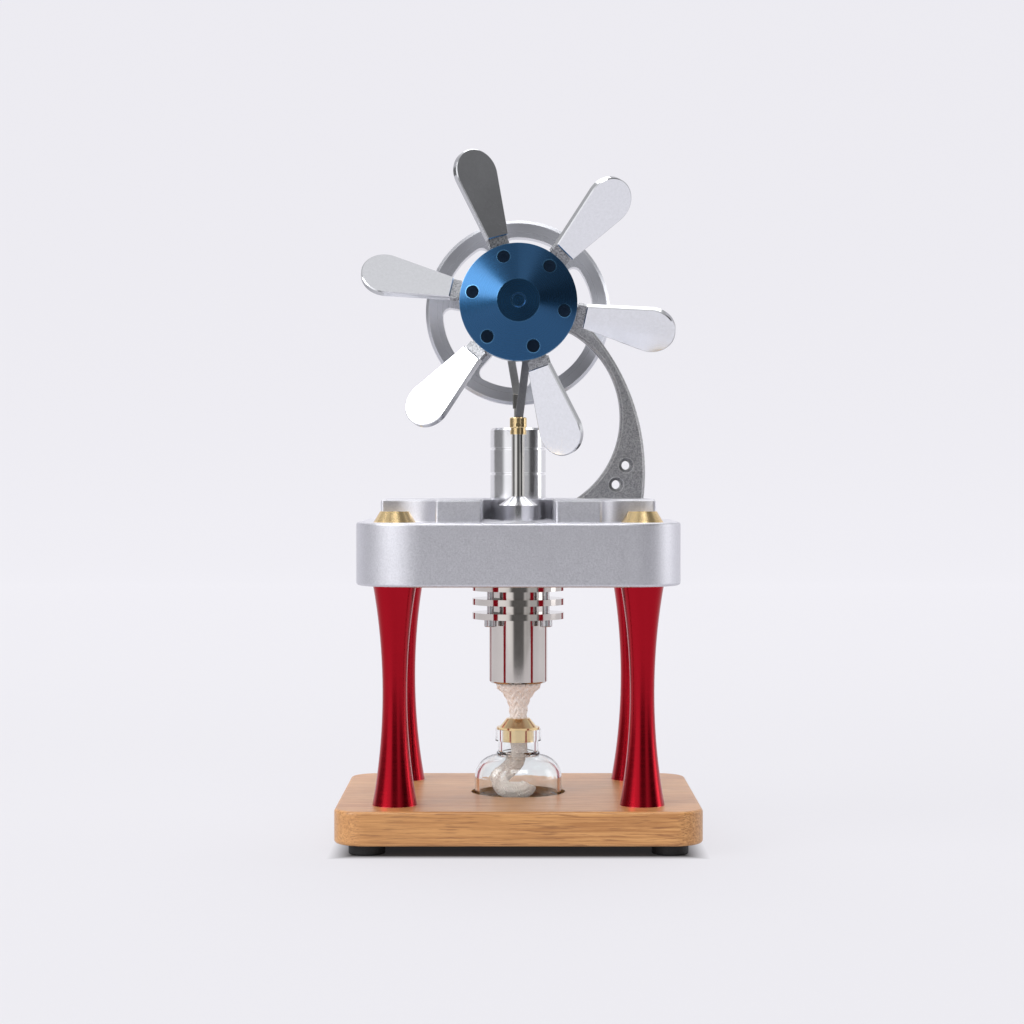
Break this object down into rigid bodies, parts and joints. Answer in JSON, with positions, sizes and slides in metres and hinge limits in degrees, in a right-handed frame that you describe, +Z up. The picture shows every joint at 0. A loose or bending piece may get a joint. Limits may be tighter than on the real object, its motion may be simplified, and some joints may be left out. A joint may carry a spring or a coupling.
{
  "type": "stirling engine model",
  "caption": "Table-top hot-air engine: fan and flywheel on a crankshaft over a metal platform on posts, with a spirit lamp on a wooden board.",
  "frame": {"origin": "on the supporting surface, under the middle of the wooden board", "axes": "+Z up along the posts, -Y to the front where the fan faces, +X to the side with the bearing bracket"},
  "size_m": [0.13, 0.11, 0.2515],
  "materials": {
    "bamboo": "satin lacquered, fine straight grain",
    "black_rubber": "matte",
    "screw_steel": "zinc plated",
    "red_anodised": "deep red anodised, satin",
    "brass": "turned, bright",
    "blasted_aluminium": "fine bead-blasted and clear anodised",
    "gasket": "heat-resisting fibre sheet",
    "stainless": "polished stainless steel",
    "turned_aluminium": "turned, bright satin",
    "bronze": "plain bearing bronze",
    "sand_cast_aluminium": "coarse sand-blasted",
    "bearing_steel": "ground",
    "ground_steel": "ground, bright",
    "blue_anodised": "blue anodised, circular satin turning",
    "satin_aluminium": "satin turned",
    "dark_screw": "black oxide",
    "polished_aluminium": "polished, near mirror",
    "dark_rod_metal": "satin",
    "rod_metal": "satin",
    "graphite": "machined graphite",
    "clear_glass": "clear, polished",
    "cotton": "braided undyed cotton"
  },
  "bodies": {
    "stand": {"base_board": "bamboo", "rubber_feet": "black_rubber", "foot_screws": "screw_steel", "post_front_left": "red_anodised", "post_front_right": "red_anodised", "post_rear_left": "red_anodised", "post_rear_right": "red_anodised", "post_screws": "screw_steel", "post_studs": "screw_steel", "cone_nuts": "brass", "platform": "blasted_aluminium", "flange_gasket": "gasket", "cooling_flange": "stainless", "hot_cap": "stainless", "flange_screws": "screw_steel", "gland": "turned_aluminium", "gland_bush": "bronze", "power_cylinder": "turned_aluminium", "bearing_bracket": "sand_cast_aluminium", "bracket_screws": "screw_steel", "bearing_spacer": "screw_steel", "front_bearing_outer_race": "bearing_steel", "rear_bearing_outer_race": "bearing_steel"},
    "crankshaft": {"main_shaft": "ground_steel", "front_web": "turned_aluminium", "rear_web": "turned_aluminium", "front_bearing_inner_race": "bearing_steel", "rear_bearing_inner_race": "bearing_steel", "front_bearing_balls": "bearing_steel", "rear_bearing_balls": "bearing_steel", "fan_hub": "blue_anodised", "fan_carrier": "satin_aluminium", "hub_stud": "screw_steel", "fan_blade_1": "polished_aluminium", "fan_blade_2": "polished_aluminium", "fan_blade_3": "polished_aluminium", "fan_blade_4": "polished_aluminium", "fan_blade_5": "polished_aluminium", "fan_blade_6": "polished_aluminium", "blade_screws": "dark_screw", "flywheel": "satin_aluminium", "flywheel_screw": "screw_steel"},
    "displacer": {"displacer_can": "stainless", "displacer_lid": "stainless", "displacer_rod": "ground_steel", "displacer_clevis": "brass", "clevis_pin": "brass"},
    "displacer_link": {"displacer_conrod": "dark_rod_metal", "displacer_conrod_bush": "bronze", "displacer_crank_pin": "ground_steel"},
    "power_piston": {"power_piston": "graphite", "piston_fork": "ground_steel", "wrist_pin": "ground_steel"},
    "power_link": {"power_conrod": "rod_metal", "power_conrod_bush": "bronze", "power_crank_pin": "ground_steel"},
    "burner": {"lamp_bottle": "clear_glass", "lamp_collar": "brass", "wick": "cotton"}
  },
  "joints": [
    {"name": "crank_spin", "type": "hinge", "parent": "stand", "child": "crankshaft", "pos_m": [0, 0.011, 0.196], "axis": [0, 1, 0], "continuous": true},
    {"name": "displacer_slide", "type": "slide", "parent": "stand", "child": "displacer", "axis": [0, 0, 1], "range_m": [-0.00236, 0.01163]},
    {"name": "displacer_link_swing", "type": "hinge", "parent": "displacer", "child": "displacer_link", "pos_m": [0, 0, 0.152], "axis": [0, 1, 0], "range_deg": [-17.46, 3.01]},
    {"name": "power_slide", "type": "slide", "parent": "stand", "child": "power_piston", "axis": [0, 0, 1], "range_m": [-0.00246, 0.01153]},
    {"name": "power_link_swing", "type": "hinge", "parent": "power_piston", "child": "power_link", "pos_m": [0, 0.022, 0.162], "axis": [0, 1, 0], "range_deg": [-4.07, 23.41]},
    {"name": "burner_lift", "type": "slide", "parent": "stand", "child": "burner", "axis": [0, 0, 1], "range_m": [0, 0.004], "deforming": ["wick"]}
  ]
}
